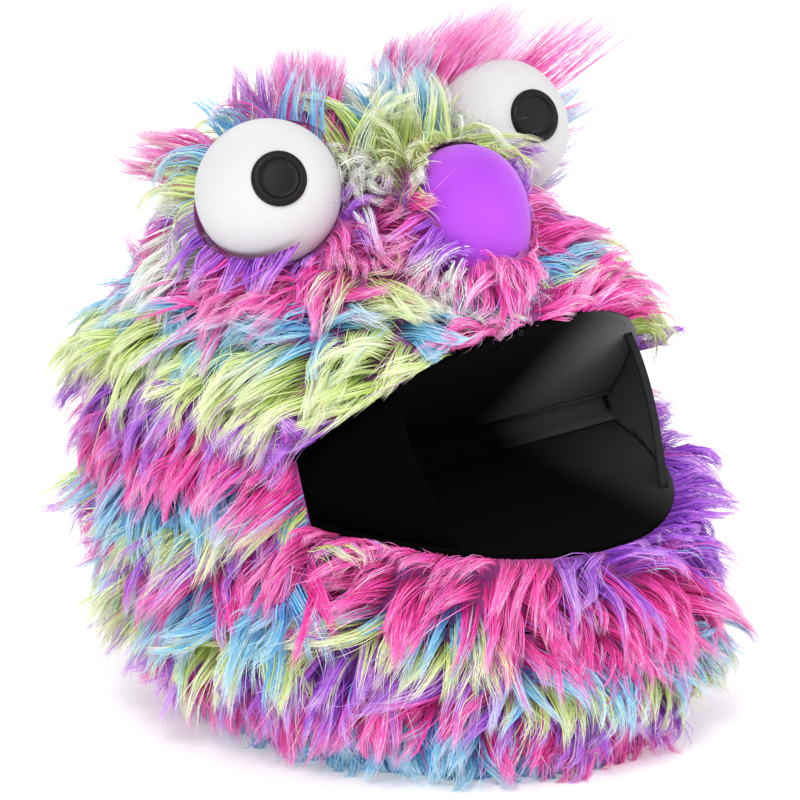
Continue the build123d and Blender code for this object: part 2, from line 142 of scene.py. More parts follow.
def vary(m, low, high, scale, detail=4.0):
    """Base colour that wanders between two colours."""
    tree = m.node_tree
    shader = tree.nodes["Principled BSDF"]
    where = tree.nodes.new("ShaderNodeTexCoord")
    noise = tree.nodes.new("ShaderNodeTexNoise")
    noise.inputs["Scale"].default_value = scale
    noise.inputs["Detail"].default_value = detail
    ramp = tree.nodes.new("ShaderNodeValToRGB")
    ramp.color_ramp.elements[0].position = 0.3
    ramp.color_ramp.elements[1].position = 0.7
    ramp.color_ramp.elements[0].color = low
    ramp.color_ramp.elements[1].color = high
    tree.links.new(where.outputs["Object"], noise.inputs["Vector"])
    tree.links.new(noise.outputs["Fac"], ramp.inputs["Fac"])
    tree.links.new(ramp.outputs["Color"], shader.inputs["Base Color"])
    return m


# The dyed pile: five hues, each in five tones from shaded to pale
HUES = ["purple", "pink", "blue", "lime", "frost"]
TONES = {
    "purple": [(104, 32, 150), (150, 62, 210), (186, 98, 230), (212, 148, 240), (234, 202, 248)],
    "pink": [(184, 8, 124), (236, 36, 158), (251, 78, 186), (252, 142, 214), (254, 206, 238)],
    "blue": [(44, 104, 196), (76, 164, 234), (122, 202, 242), (172, 226, 248), (218, 240, 252)],
    "lime": [(136, 168, 44), (192, 220, 92), (216, 238, 132), (234, 247, 178), (247, 252, 220)],
    "frost": [(186, 204, 176), (216, 230, 204), (234, 243, 224), (244, 249, 238), (252, 253, 250)],
}
N_TONES = 5
FUR = [
    material(f"fur_{hue}_{k}", linear(*colour), 0.55, Sheen_Weight=0.25, Sheen_Roughness=0.5)
    for hue in HUES
    for k, colour in enumerate(TONES[hue])
]

eye_white = bump(
    material("eye_white", (0.64, 0.64, 0.65, 1), 0.62, Sheen_Weight=0.1), "noise", 900, 0.12
)
pupil_black = bump(
    material("pupil_black", linear(6, 6, 8), 0.5, Specular_IOR_Level=0.25), "noise", 500, 0.05
)
nose_fleece = bump(
    vary(
        material("nose_fleece", linear(168, 66, 216), 0.85, Sheen_Weight=0.6,
                 Sheen_Roughness=0.4, Sheen_Tint=linear(235, 190, 250)),
        linear(160, 58, 210), linear(178, 72, 222), 24, 2.0,
    ),
    "noise", 700, 0.5,
)
BLACK = (0.0008, 0.0008, 0.0009, 1)
lining_black = bump(
    material("lining_black", BLACK, 0.9, Specular_IOR_Level=0.03),
    "noise", 400, 0.25,
)


def painted_light_ramp(name, grey, start, end):
    """The black lining, painted grey towards the head's left between these places on X: painted
    light on the far inside of the mouth.
    """
    m = material(name, (grey, grey, grey, 1), 0.9, Specular_IOR_Level=0.05)
    tree = m.node_tree
    shader = tree.nodes["Principled BSDF"]
    where = tree.nodes.new("ShaderNodeTexCoord")
    axes = tree.nodes.new("ShaderNodeSeparateXYZ")
    across = tree.nodes.new("ShaderNodeMapRange")
    across.interpolation_type = "SMOOTHSTEP"
    across.inputs["From Min"].default_value = start
    across.inputs["From Max"].default_value = end
    ramp = tree.nodes.new("ShaderNodeValToRGB")
    ramp.color_ramp.elements[0].color = BLACK
    ramp.color_ramp.elements[1].color = (grey, grey, grey, 1)
    tree.links.new(where.outputs["Object"], axes.inputs["Vector"])
    tree.links.new(axes.outputs["X"], across.inputs["Value"])
    tree.links.new(across.outputs["Result"], ramp.inputs["Fac"])
    tree.links.new(ramp.outputs["Color"], shader.inputs["Base Color"])
    return bump(m, "noise", 400, 0.25)


# painted light: the palate, floor and fold linings turn from black to grey towards the head's left
lining_palate = painted_light_ramp("lining_palate", 0.19, 0.01, 0.10)
lining_floor = painted_light_ramp("lining_floor", 0.07, 0.03, 0.12)
lining_fold = painted_light_ramp("lining_fold", 0.16, 0.03, 0.11)
# painted light: a lighter copy of the black lining for the left gusset's outer side and its edges
lining_painted_lit_left = material("lining_painted_lit_left", (0.025, 0.025, 0.026, 1), 0.9, Specular_IOR_Level=0.05)
# painted light: a grey copy of the black lining for the gussets' inner sides, standing in for the
# lamps' light on the mouth's far wall
lining_painted_lit_grey = bump(
    material("lining_painted_lit_grey", (0.13, 0.13, 0.132, 1), 0.9, Specular_IOR_Level=0.05),
    "noise", 400, 0.2,
)
foam = bump(
    vary(material("foam", linear(226, 216, 180), 0.9), linear(216, 204, 166),
         linear(232, 224, 192), 30),
    "cells", 700, 0.6,
)
backing = bump(
    vary(material("fur_backing", linear(150, 80, 150), 0.9), linear(120, 60, 140),
         linear(190, 90, 165), 25),
    "noise", 800, 0.4,
)
board = bump(
    vary(material("board", linear(150, 108, 66), 0.6), linear(128, 90, 54),
         linear(164, 122, 78), 18),
    "noise", 300, 0.2,
)
webbing = bump(
    material("webbing", linear(26, 26, 30), 0.75, Sheen_Weight=0.2), "noise", 1200, 0.5
)
zinc = bump(
    material("zinc_steel", linear(184, 188, 192), 0.38, Metallic=1.0), "noise", 600, 0.08
)
hinge_steel = bump(
    material("hinge_steel", linear(170, 168, 160), 0.32, Metallic=1.0), "noise", 500, 0.06
)
hem_tape = bump(
    material("hem_tape", linear(92, 40, 116), 0.85, Sheen_Weight=0.2), "noise", 900, 0.5
)
sleeve_knit = bump(
    material("sleeve_knit", linear(24, 24, 28), 0.85, Sheen_Weight=0.2), "noise", 900, 0.5
)

# CAD parts that are seen as they are, or hidden inside
for name, m in {
    "foam_crown": foam, "foam_muzzle": foam, "foam_back": foam, "foam_neck": foam,
    "foam_jaw": foam, "upper_mouth_board": board, "lower_mouth_board": board,
    "hinge_leaf_upper": hinge_steel, "hinge_leaf_lower": hinge_steel,
    "hinge_screws_upper": zinc, "hinge_screws_lower": zinc, "hinge_pin": hinge_steel,
    "finger_strap": webbing, "finger_strap_screws": zinc, "thumb_loop": webbing,
    "thumb_loop_screws": zinc, "eye_studs": zinc, "eye_washers": zinc, "eye_nuts": zinc,
    "hem_ring": hem_tape,
}.items():
    mesh = nodes[name].data
    mesh.materials.clear()
    mesh.materials.append(m)


# ------------------------------------------------------------------ mesh helpers


def link(name, mesh):
    """A piece of its own in the scene."""
    piece = bpy.data.objects.new(name, mesh)
    bpy.context.scene.collection.objects.link(piece)
    return piece


def smooth(mesh):
    """Shades all faces smooth."""
    mesh.polygons.foreach_set("use_smooth", np.ones(len(mesh.polygons), bool))


def triangles(node):
    """Corner positions of a CAD node's triangles."""
    mesh = nodes[node].data
    mesh.calc_loop_triangles()
    co = np.empty(len(mesh.vertices) * 3, np.float32)
    mesh.vertices.foreach_get("co", co)
    index = np.empty(len(mesh.loop_triangles) * 3, np.int32)
    mesh.loop_triangles.foreach_get("vertices", index)
    return co.reshape(-1, 3)[index.reshape(-1, 3)].astype(float)


def normals_of(tris):
    """Unit normals and areas of triangles."""
    cross = np.cross(tris[:, 1] - tris[:, 0], tris[:, 2] - tris[:, 0])
    area = np.linalg.norm(cross, axis=1) / 2
    return unit(cross), area


def outwards(points):
    """Unit vectors from the head's middle line to the points."""
    middle = np.zeros_like(points)
    middle[..., 1] = MIDDLE_Y
    middle[..., 2] = np.clip(points[..., 2], 0.06, 0.2)
    return unit(points - middle)


def surface(node, facing):
    """The triangles of a node whose normals satisfy facing(normal, centre)."""
    tris = triangles(node)
    normal, area = normals_of(tris)
    keep = facing(normal, tris.mean(1)) & (area > 1e-12)
    return tris[keep]


def split(tris, edge, near):
    """Cuts triangles in four until those near something have no edge longer than edge."""
    for _ in range(7):
        longest = np.linalg.norm(tris - np.roll(tris, -1, axis=1), axis=2).max(1)
        big = (longest > edge) & near(tris, longest)
        if not big.any():
            break
        a, b, c = tris[big, 0], tris[big, 1], tris[big, 2]
        ab, bc, ca = (a + b) / 2, (b + c) / 2, (c + a) / 2
        parts = [(a, ab, ca), (ab, b, bc), (ca, bc, c), (ab, bc, ca)]
        tris = np.concatenate([tris[~big]] + [np.stack(part, 1) for part in parts])
    return tris


def inner(node):
    """A node's faces on the side of the head's middle, turned to look outwards."""
    tris = surface(node, lambda n, c: (n * outwards(c)).sum(1) < -0.3)
    return tris[:, ::-1]


def outer(node):
    """A node's faces on the outer side."""
    return surface(node, lambda n, c: (n * outwards(c)).sum(1) > 0.3)


def nose_distance(p):
    """1 on the nose's surface, less inside it."""
    v = p - NOSE_CENTRE
    along = v @ NOSE_AXIS
    across = np.linalg.norm(v - along[..., None] * NOSE_AXIS, axis=-1)
    return np.hypot(along / NOSE_HALF, across / NOSE_RADIUS)


RIM_EDGE = 0.0016  # longest edge of a triangle near a rim
EYE_RIM = (0.0002, 0.0047)  # how far a rim reaches from an eye's surface
NOSE_RIM = (1.0, 1.09)  # and from the nose's, as a distance of nose_distance


def rims():
    """The head's surface between the fur cloth and the eyes and nose, 1 mm over the foam."""
    found = []
    for node in ("foam_crown", "foam_muzzle", "foam_back"):
        tris = outer(node)
        for eye in EYES:
            t = split(tris, RIM_EDGE, lambda t, longest: (
                np.abs(np.linalg.norm(t.mean(1) - eye, axis=1) - EYE_RADIUS - 0.002)
                < 0.003 + longest))
            d = np.linalg.norm(t.mean(1) - eye, axis=1) - EYE_RADIUS
            found.append(t[(d > EYE_RIM[0]) & (d < EYE_RIM[1])])
        t = split(tris, RIM_EDGE, lambda t, longest: (
            np.abs(nose_distance(t.mean(1)) - 1) < 0.12 + longest / NOSE_RADIUS))
        d = nose_distance(t.mean(1))
        found.append(t[(d > NOSE_RIM[0]) & (d < NOSE_RIM[1])])
    found = np.concatenate(found)
    normal, _ = normals_of(found)
    return found + normal[:, None, :] * 0.001


HEM_OUT = 0.0020  # a lining's free edge stands this far out of the mouth
HEM_DOWN = 0.0030  # and is turned this far over the foam


def free_edges(bm):
    """A lining's edges along the lips, and for each of their corners the ways out of the cloth."""
    edges, ways = [], {}
    for e in bm.edges:
        middle = (e.verts[0].co + e.verts[1].co) / 2
        v = np.array(middle) - HINGE
        if e.is_boundary and v[1] < 0 and math.hypot(v[1], v[2]) > CORNER - 0.003:
            way = middle - e.link_faces[0].calc_center_median()
            line = (e.verts[1].co - e.verts[0].co).normalized()
            way = (way - line * way.dot(line)).normalized()
            for vert in e.verts:
                ways.setdefault(vert, []).append(way)
            edges.append(e)
    return edges, ways


def hem(bm, out):
    """Turns a lining's free edge over the foam's edge: outwards, and then along out."""
    for step in (HEM_OUT, -HEM_DOWN):
        edges, ways = free_edges(bm)
        places = {tuple(vert.co): vert for vert in ways}
        made = bmesh.ops.extrude_edge_only(bm, edges=edges)["geom"]
        for vert in made:
            if isinstance(vert, bmesh.types.BMVert):
                way = sum(ways[places[tuple(vert.co)]], Vector()).normalized()
                vert.co += way * step if step > 0 else Vector(out) * -step
    bmesh.ops.recalc_face_normals(bm, faces=bm.faces)
    if sum(f.normal.dot(Vector(out)) * f.calc_area() for f in bm.faces) > 0:
        bmesh.ops.reverse_faces(bm, faces=bm.faces)


def cloth(name, tris, edge, thickness, push=None, m=None, sink=0.0, inside=None, over=None):
    """A cloth piece over these triangles, with no edge longer than edge. push moves its points,
    sink lowers them into the surface, over is the way that its free edge is turned, and inside is
    the material of its inner side."""
    bm = bmesh.new()
    corners = tris.reshape(-1, 3)
    verts = [bm.verts.new(p) for p in corners]
    for k in range(len(tris)):
        bm.faces.new(verts[3 * k : 3 * k + 3])
    bmesh.ops.remove_doubles(bm, verts=bm.verts, dist=2e-5)
    for _ in range(6):
        long = [e for e in bm.edges if e.calc_length() > edge]
        if not long:
            break
        bmesh.ops.subdivide_edges(bm, edges=long, cuts=1)
        bmesh.ops.triangulate(bm, faces=bm.faces)
    if over is not None:
        hem(bm, over)
    bm.normal_update()
    if sink:
        for v in bm.verts:
            v.co -= v.normal * sink
    mesh = bpy.data.meshes.new(name)
    bm.to_mesh(mesh)
    bm.free()
    if push is not None:
        co = np.empty(len(mesh.vertices) * 3, np.float32)
        mesh.vertices.foreach_get("co", co)
        moved = push(co.reshape(-1, 3).astype(float))
        mesh.vertices.foreach_set("co", moved.astype(np.float32).ravel())
        mesh.update()
    mesh.materials.append(m)
    piece = link(name, mesh)
    smooth(mesh)
    if thickness:
        thick = piece.modifiers.new("thickness", "SOLIDIFY")
        thick.thickness = thickness
        thick.offset = -1
        if inside is not None:
            mesh.materials.append(inside)
            thick.material_offset = 1
        settle(piece)
    return piece


def settle(piece):
    """Applies a piece's modifiers."""
    bpy.context.view_layer.update()
    graph = bpy.context.evaluated_depsgraph_get()
    mesh = bpy.data.meshes.new_from_object(piece.evaluated_get(graph))
    piece.modifiers.clear()
    piece.data = mesh


def lathe(name, profile, steps, place, m):
    """A piece turned about its own Z from a profile of radius and height."""
    bm = bmesh.new()
    rings = []
    for radius, height in profile:
        if radius < 1e-7:
            rings.append([bm.verts.new((0, 0, height))])
        else:
            rings.append([
                bm.verts.new((radius * math.cos(a), radius * math.sin(a), height))
                for a in (2 * math.pi * k / steps for k in range(steps))
            ])
    for a, b in zip(rings, rings[1:]):
        for k in range(steps):
            n = (k + 1) % steps
            corner = [a[k % len(a)], a[n % len(a)], b[n % len(b)], b[k % len(b)]]
            corner = [v for i, v in enumerate(corner) if v not in corner[:i]]
            bm.faces.new(corner)
    bmesh.ops.recalc_face_normals(bm, faces=bm.faces)
    bm.transform(place)
    mesh = bpy.data.meshes.new(name)
    bm.to_mesh(mesh)
    bm.free()
    mesh.materials.append(m)
    smooth(mesh)
    return link(name, mesh)


# ------------------------------------------------------------------ camera, light, floor

TARGET = Vector((-0.001, 0.001, 0.1526))
CAMERA_DISTANCE = 3.2
BACK = Vector((-0.6964, -0.6725, 0.2504)).normalized()
camera = bpy.data.objects.new("camera", bpy.data.cameras.new("camera"))
bpy.context.scene.collection.objects.link(camera)
camera.location = TARGET + BACK * CAMERA_DISTANCE
camera.rotation_mode = "QUATERNION"
camera.rotation_quaternion = (-BACK).to_track_quat("-Z", "Y")
camera.data.sensor_width = 36
camera.data.lens = 300
camera.data.clip_start = 0.05
camera.data.clip_end = 50
bpy.context.scene.camera = camera

world = bpy.data.worlds.new("world")
world.use_nodes = True
world.node_tree.nodes["Background"].inputs["Color"].default_value = (1, 1, 1, 1)
world.node_tree.nodes["Background"].inputs["Strength"].default_value = 0.76
bpy.context.scene.world = world
bpy.context.scene.view_settings.view_transform = "Standard"


def softbox(name, place, power, size):
    """A round area lamp that faces the head."""
    lamp = bpy.data.lights.new(name, "AREA")
    lamp.energy = power
    lamp.shape = "DISK"
    lamp.size = size
    holder = bpy.data.objects.new(name, lamp)
    holder.location = place
    way = Vector((0, 0, 0.15)) - Vector(place)
    holder.rotation_mode = "QUATERNION"
    holder.rotation_quaternion = way.to_track_quat("-Z", "Y")
    bpy.context.scene.collection.objects.link(holder)


softbox("key", (-1.3, -0.9, 1.6), 23, 0.9)
softbox("fill", (0.9, -1.5, 0.9), 6, 1.2)
softbox("rim", (0.6, 1.4, 1.2), 8, 1.0)

bm = bmesh.new()
bmesh.ops.create_circle(bm, cap_ends=True, segments=96, radius=6.0)
floor_mesh = bpy.data.meshes.new("floor")
bm.to_mesh(floor_mesh)
bm.free()
floor_mesh.materials.append(
    material("floor", (0.92, 0.92, 0.92, 1), 0.9, Emission_Color=(1, 1, 1, 1),
             Emission_Strength=0.3)
)
floor = link("floor", floor_mesh)

# ------------------------------------------------------------------ eyes and nose


def ball_profile(radius, steps):
    """Half a circle, from pole to pole."""
    angles = [math.pi * k / steps - math.pi / 2 for k in range(steps + 1)]
    return [(abs(radius * math.cos(a)) if 0 < k < steps else 0.0, radius * math.sin(a))
            for k, a in enumerate(angles)]


def toward(centre, direction):
    """Places a turned piece at centre with its Z along direction."""
    turn = Vector(direction).normalized().to_track_quat("Z", "Y").to_matrix().to_4x4()
    return Matrix.Translation(Vector(centre)) @ turn


# Radius and height over the eye's centre, in millimetres: a raised rim round a dished middle
PUPIL_PROFILE = [
    (0.0, 31.6), (8.0, 31.6), (12.4, 31.6), (13.0, 31.8), (13.2, 32.7), (13.15, 33.7),
    (12.8, 34.4), (12.1, 35.0), (11.2, 35.4), (10.4, 35.5), (9.8, 35.3), (9.4, 34.8),
    (9.1, 34.3), (8.7, 34.1), (7.0, 34.2), (4.0, 34.5), (2.0, 34.6), (0.0, 34.65),
]

for side, centre, gaze in zip(("right", "left"), EYES, GAZES):
    ball = lathe(f"eyeball_{side}", ball_profile(EYE_RADIUS, 72), 120,
                 toward(centre, gaze), eye_white)
    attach(ball, "head")
    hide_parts(f"eye_{side}")
    disc = lathe(f"pupil_disc_{side}", [(r / 1000, h / 1000) for r, h in PUPIL_PROFILE], 96,
                 toward(centre, gaze), pupil_black)
    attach(disc, "head")
    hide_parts(f"pupil_{side}")


def nose_profile(steps):
    """An egg, with its blunt end up."""
    out = []
    for k in range(steps + 1):
        a = math.pi * k / steps - math.pi / 2
        height = NOSE_HALF * math.sin(a)
        radius = NOSE_RADIUS * math.cos(a) * (1 + 0.16 * math.sin(a))
        out.append((radius if 0 < k < steps else 0.0, height))
    return out


nose = lathe("nose_egg", nose_profile(64), 96, toward(NOSE_CENTRE, NOSE_AXIS), nose_fleece)
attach(nose, "head")
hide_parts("nose")

# ------------------------------------------------------------------ mouth linings


def folds(co, out, depth, scale, seed):
    """Shallow uneven waves pressed into a lining along out."""
    p = co / scale + seed
    wave = (
        np.sin(p[:, 0] * 1.7 + np.sin(p[:, 1] * 1.3) * 1.2)
        + np.sin(p[:, 1] * 2.3 + p[:, 2] * 1.9 + np.sin(p[:, 0] * 0.9))
    ) / 2
    return co + out * (wave * 0.5 - 0.5)[:, None] * depth


palate = cloth(
    "palate_cloth",
    surface("palate_lining", lambda n, c: n @ UPPER_OUT < -0.9),
    0.006, 0.0008, lambda co: folds(co, UPPER_OUT, 0.0006, 0.02, 3.0), lining_palate,
    over=UPPER_OUT,
)
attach(palate, "head")
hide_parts("palate_lining")

floor_cloth = cloth(
    "mouth_floor_cloth",
    surface("mouth_floor_lining", lambda n, c: n @ LOWER_OUT < -0.9),
    0.006, 0.0008, lambda co: folds(co, LOWER_OUT, 0.0006, 0.02, 7.0), lining_floor,
    over=LOWER_OUT,
)
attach(floor_cloth, "jaw")
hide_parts("mouth_floor_lining")

# The fold in section, from the hinge: where its ends lie along the boards and inside the linings,
# and the arc between them round the hinge's knuckle
FOLD_END = 0.0225
FOLD_INSIDE = 0.0046
FOLD_RADIUS = 0.0163
FOLD_ARC = (math.radians(144), math.radians(164))
FOLD_STEPS = 8
FOLD_COLUMNS = 48


def fold_strip():
    """Triangles of a strip that rounds the back of the mouth, from under one lining to the other."""
    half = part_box("lining_fold")[1].x - 0.0005
    line = [UPPER_DIR * FOLD_END - UPPER_OUT * FOLD_INSIDE]
    for k in range(FOLD_STEPS + 1):
        a = FOLD_ARC[0] + (FOLD_ARC[1] - FOLD_ARC[0]) * k / FOLD_STEPS
        line.append(np.array([0, math.cos(a), math.sin(a)]) * FOLD_RADIUS)
    line.append(LOWER_DIR * FOLD_END - LOWER_OUT * FOLD_INSIDE)
    line = np.array(line) + HINGE
    across = np.linspace(-half, half, FOLD_COLUMNS)
    grid = line[:, None, :] + across[None, :, None] * np.array([1.0, 0, 0])
    a, b, c, d = grid[:-1, :-1], grid[:-1, 1:], grid[1:, 1:], grid[1:, :-1]
    tris = np.stack([np.stack([a, c, b], 2), np.stack([a, d, c], 2)], 2)
    return tris.reshape(-1, 3, 3)


fold = cloth("fold_cloth", fold_strip(), 0.006, 0.001, None, lining_fold)
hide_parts("lining_fold")
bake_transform(fold)

# painted light: both gussets' inner sides are grey, and the left one's outer side is lighter than
# the right one's plain black
for side in ("left", "right"):
    wall = cloth(f"gusset_cloth_{side}", outer(f"mouth_gusset_{side}"), 0.006, 0.0014,
                 None, lining_black if side == "right" else lining_painted_lit_left, sink=0.0006,
                 inside=lining_painted_lit_grey)
    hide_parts(f"mouth_gusset_{side}")
    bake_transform(wall)

sleeve = cloth("sleeve_cloth", outer("arm_sleeve"), 0.008, 0.0012, None, sleeve_knit)
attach(sleeve, "head")
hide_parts("arm_sleeve")

# ------------------------------------------------------------------ fur cloth

PANELS = {
    # node: (body, or None where it lies between the two and is left unattached, flat width, flat
    # length)
    "fur_crown": ("head", 0.24, 0.22),
    "fur_back": ("head", 0.46, 0.20),
    "fur_muzzle": ("head", 0.30, 0.09),
    "fur_neck": ("head", 0.84, 0.048),
    "fur_jaw": ("jaw", 0.42, 0.060),
    "fur_throat": (None, 0.42, 0.045),
    "fur_cheek_left": (None, 0.105, 0.110),
    "fur_cheek_right": (None, 0.105, 0.110),
}


def bend(piece, node):
    """Throat and cheeks, across the line where head and jaw meet: only their place is baked into
    their mesh, and they are not bent.
    """
    if node == "fur_throat":
        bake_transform(piece)
    else:
        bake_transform(piece)


# Places where the pile has a hue of its own: centre, reach, hue, the way that it stands where it
# isn't brushed like the rest, and its length over the rest's. Later ones lie over earlier ones.
PATCHES = [
    # the fringe between the eyes, and the pile round and under the right eye
    ((-0.040, -0.012, 0.271), 0.018, "frost", (-0.6, -0.75, -0.2), 1.1),
    ((-0.010, -0.014, 0.280), 0.022, "lime", (-0.7, -0.7, 0.1), 1.0),
    ((0.004, 0.012, 0.287), 0.014, "frost", (-0.6, -0.5, 0.2), 1.1),
    ((-0.030, -0.040, 0.261), 0.012, "frost", (-0.6, -0.6, -0.6), 0.9),
    ((-0.080, -0.036, 0.240), 0.018, "lime", (0.3, -1.0, -0.1), 1.1),
    ((-0.070, -0.050, 0.230), 0.020, "lime", (0.3, -0.9, -0.3), 1.0),
    ((-0.050, -0.066, 0.226), 0.016, "frost", (0.5, -0.8, -0.3), 1.0),
    ((-0.060, -0.070, 0.216), 0.014, "blue", (0.5, -0.8, -0.3), 1.0),
    # the tufts on the crown and behind the right eye
    ((-0.031, 0.030, 0.281), 0.016, "pink", (0.15, -0.1, 1.0), 1.6),
    ((-0.048, 0.042, 0.274), 0.012, "purple", (-0.1, 0.0, 1.0), 1.2),
    ((-0.082, 0.055, 0.238), 0.022, "frost", None, 1.0),
    ((-0.060, 0.060, 0.255), 0.012, "lime", (-0.8, 0.3, 0.7), 1.0),
    ((-0.050, 0.058, 0.262), 0.013, "pink", (-0.75, 0.6, 0.22), 1.5),
    ((0.020, 0.016, 0.286), 0.015, "blue", (-0.3, 0.1, 0.8), 0.75),
    ((0.040, 0.004, 0.274), 0.012, "frost", (-0.8, -0.3, 0.3), 0.6),
    ((-0.004, 0.048, 0.284), 0.020, "frost", None, 1.0),
    # the left cheek
    ((0.112, -0.020, 0.150), 0.030, "pink", None, 0.7),
    ((0.116, -0.040, 0.116), 0.024, "purple", (0.9, -0.4, 0.3), 1.0),
    # the crest over the left eye
    ((0.040, 0.036, 0.278), 0.016, "pink", (0.35, -0.05, 1.1), 1.4),
    ((0.056, 0.042, 0.268), 0.018, "pink", (0.62, -0.3, 1.05), 1.75),
    ((0.074, 0.046, 0.250), 0.020, "pink", (0.68, -0.36, 1.1), 1.95),
    ((0.092, 0.042, 0.228), 0.018, "blue", (0.95, -0.6, 0.75), 1.5),
    # the lower lip
    ((-0.085, -0.085, 0.108), 0.028, "pink", None, 1.0),
    ((-0.055, -0.112, 0.106), 0.028, "pink", None, 1.0),
    ((-0.106, -0.055, 0.104), 0.020, "pink", None, 1.0),
    # the left temple, the face round the nose, and the upper lip
    ((0.104, 0.018, 0.212), 0.014, "pink", (1.0, -0.4, 0.35), 1.0),
    ((-0.040, -0.095, 0.205), 0.020, "pink", None, 1.0),
    ((-0.010, -0.105, 0.205), 0.022, "pink", None, 1.0),
    ((0.040, -0.042, 0.256), 0.017, "pink", (0.5, -0.7, 0.0), 0.9),
    ((-0.048, -0.038, 0.254), 0.018, "pink", (-0.1, -0.9, 0.1), 0.8),
    ((-0.036, -0.062, 0.237), 0.012, "frost", (0.5, -0.75, 0.6), 0.75),
    ((0.036, -0.072, 0.236), 0.014, "lime", None, 1.0),
    ((0.020, -0.100, 0.210), 0.028, "pink", None, 1.0),
    ((0.058, -0.082, 0.205), 0.024, "pink", None, 1.0),
    ((0.104, -0.026, 0.202), 0.018, "frost", None, 0.9),
    ((0.088, -0.050, 0.215), 0.022, "lime", None, 1.0),
]

DENSITY = 720_000  # fibres per square metre
LIP_ROW = 0.35  # of the fibres near a lip, the share that stands in a close row at its edge
TALL = 1.4  # tufts that are longer by this much are three times as dense


def scatter(tris):
    """Roots all over these triangles, and the way out at each."""
    normal, area = normals_of(tris)
    count = int(area.sum() * DENSITY)
    pick = rng.choice(len(tris), count, p=area / area.sum())
    a, b = rng.random(count), rng.random(count)
    flip = a + b > 1
    a[flip], b[flip] = 1 - a[flip], 1 - b[flip]
    t = tris[pick]
    p = t[:, 0] + a[:, None] * (t[:, 1] - t[:, 0]) + b[:, None] * (t[:, 2] - t[:, 0])
    v = p - HINGE
    ahead = (np.hypot(v[:, 1], v[:, 2]) > CORNER + 0.002) & (v[:, 1] < 0)
    for out in (UPPER_OUT, LOWER_OUT):
        up = v @ out
        row = ahead & (up < 0.012) & (up > -0.002) & (rng.random(count) < LIP_ROW)
        p = p - out * np.where(row, (up + 0.001) * 0.85, 0)[:, None]
    n = unit(normal[pick] * 0.6 + outwards(p) * 0.4)
    for centre, reach, _, _, longer in PATCHES:
        if longer >= TALL:
            near = np.linalg.norm(p[:count] - np.array(centre), axis=1) < reach
            for _ in range(2):
                p = np.concatenate([p, p[:count][near] + rng.normal(0, 0.0004, (near.sum(), 3))])
                n = np.concatenate([n, n[:count][near]])
    return p, n


roots, out_normals, owners = [], [], []
skins = {}
for number, (node, (body, _, _)) in enumerate(PANELS.items()):
    tris = inner(node)
    if node == "fur_crown":
        tris = np.concatenate([tris, rims()])
    p, n = scatter(tris)
    roots.append(p)
    out_normals.append(n)
    owners.append(np.full(len(p), number))
    skin = cloth("cloth_" + node[4:], tris, 0.008 if body is None else 0.02, 0.0, None, backing)
    skins[node] = (skin, normals_of(tris)[1].sum())

roots = np.concatenate(roots)
out_normals = np.concatenate(out_normals)
owners = np.concatenate(owners)


def drift(p, scale, seed):
    """A smooth random vector field."""
    q = p / scale + seed
    return np.stack([
        np.sin(q[:, 1] * 1.3 + np.sin(q[:, 2] * 1.1) * 1.4 + seed),
        np.sin(q[:, 2] * 1.2 + np.sin(q[:, 0] * 1.3) * 1.3 + seed * 2),
        np.sin(q[:, 0] * 1.4 + np.sin(q[:, 1] * 0.9) * 1.5 + seed * 3),
    ], 1)


def lips(p):
    """How close a root is to the upper and to the lower lip, 1 at the lip."""
    v = p - HINGE
    front = np.clip((np.hypot(v[:, 1], v[:, 2]) - 0.034) / 0.012, 0, 1) * (v[:, 1] < 0)
    up, low = v @ UPPER_OUT, v @ LOWER_OUT
    upper = np.clip((0.020 - up) / 0.016, 0, 1) * front * (up > -0.004) * (v @ UPPER_DIR > 0)
    lower = np.clip((0.018 - low) / 0.014, 0, 1) * front * (low > -0.004) * (v @ LOWER_DIR > 0)
    return upper, lower * (upper == 0)


CROWN_MIDDLE = np.array([0.0, 0.020, 0.245])


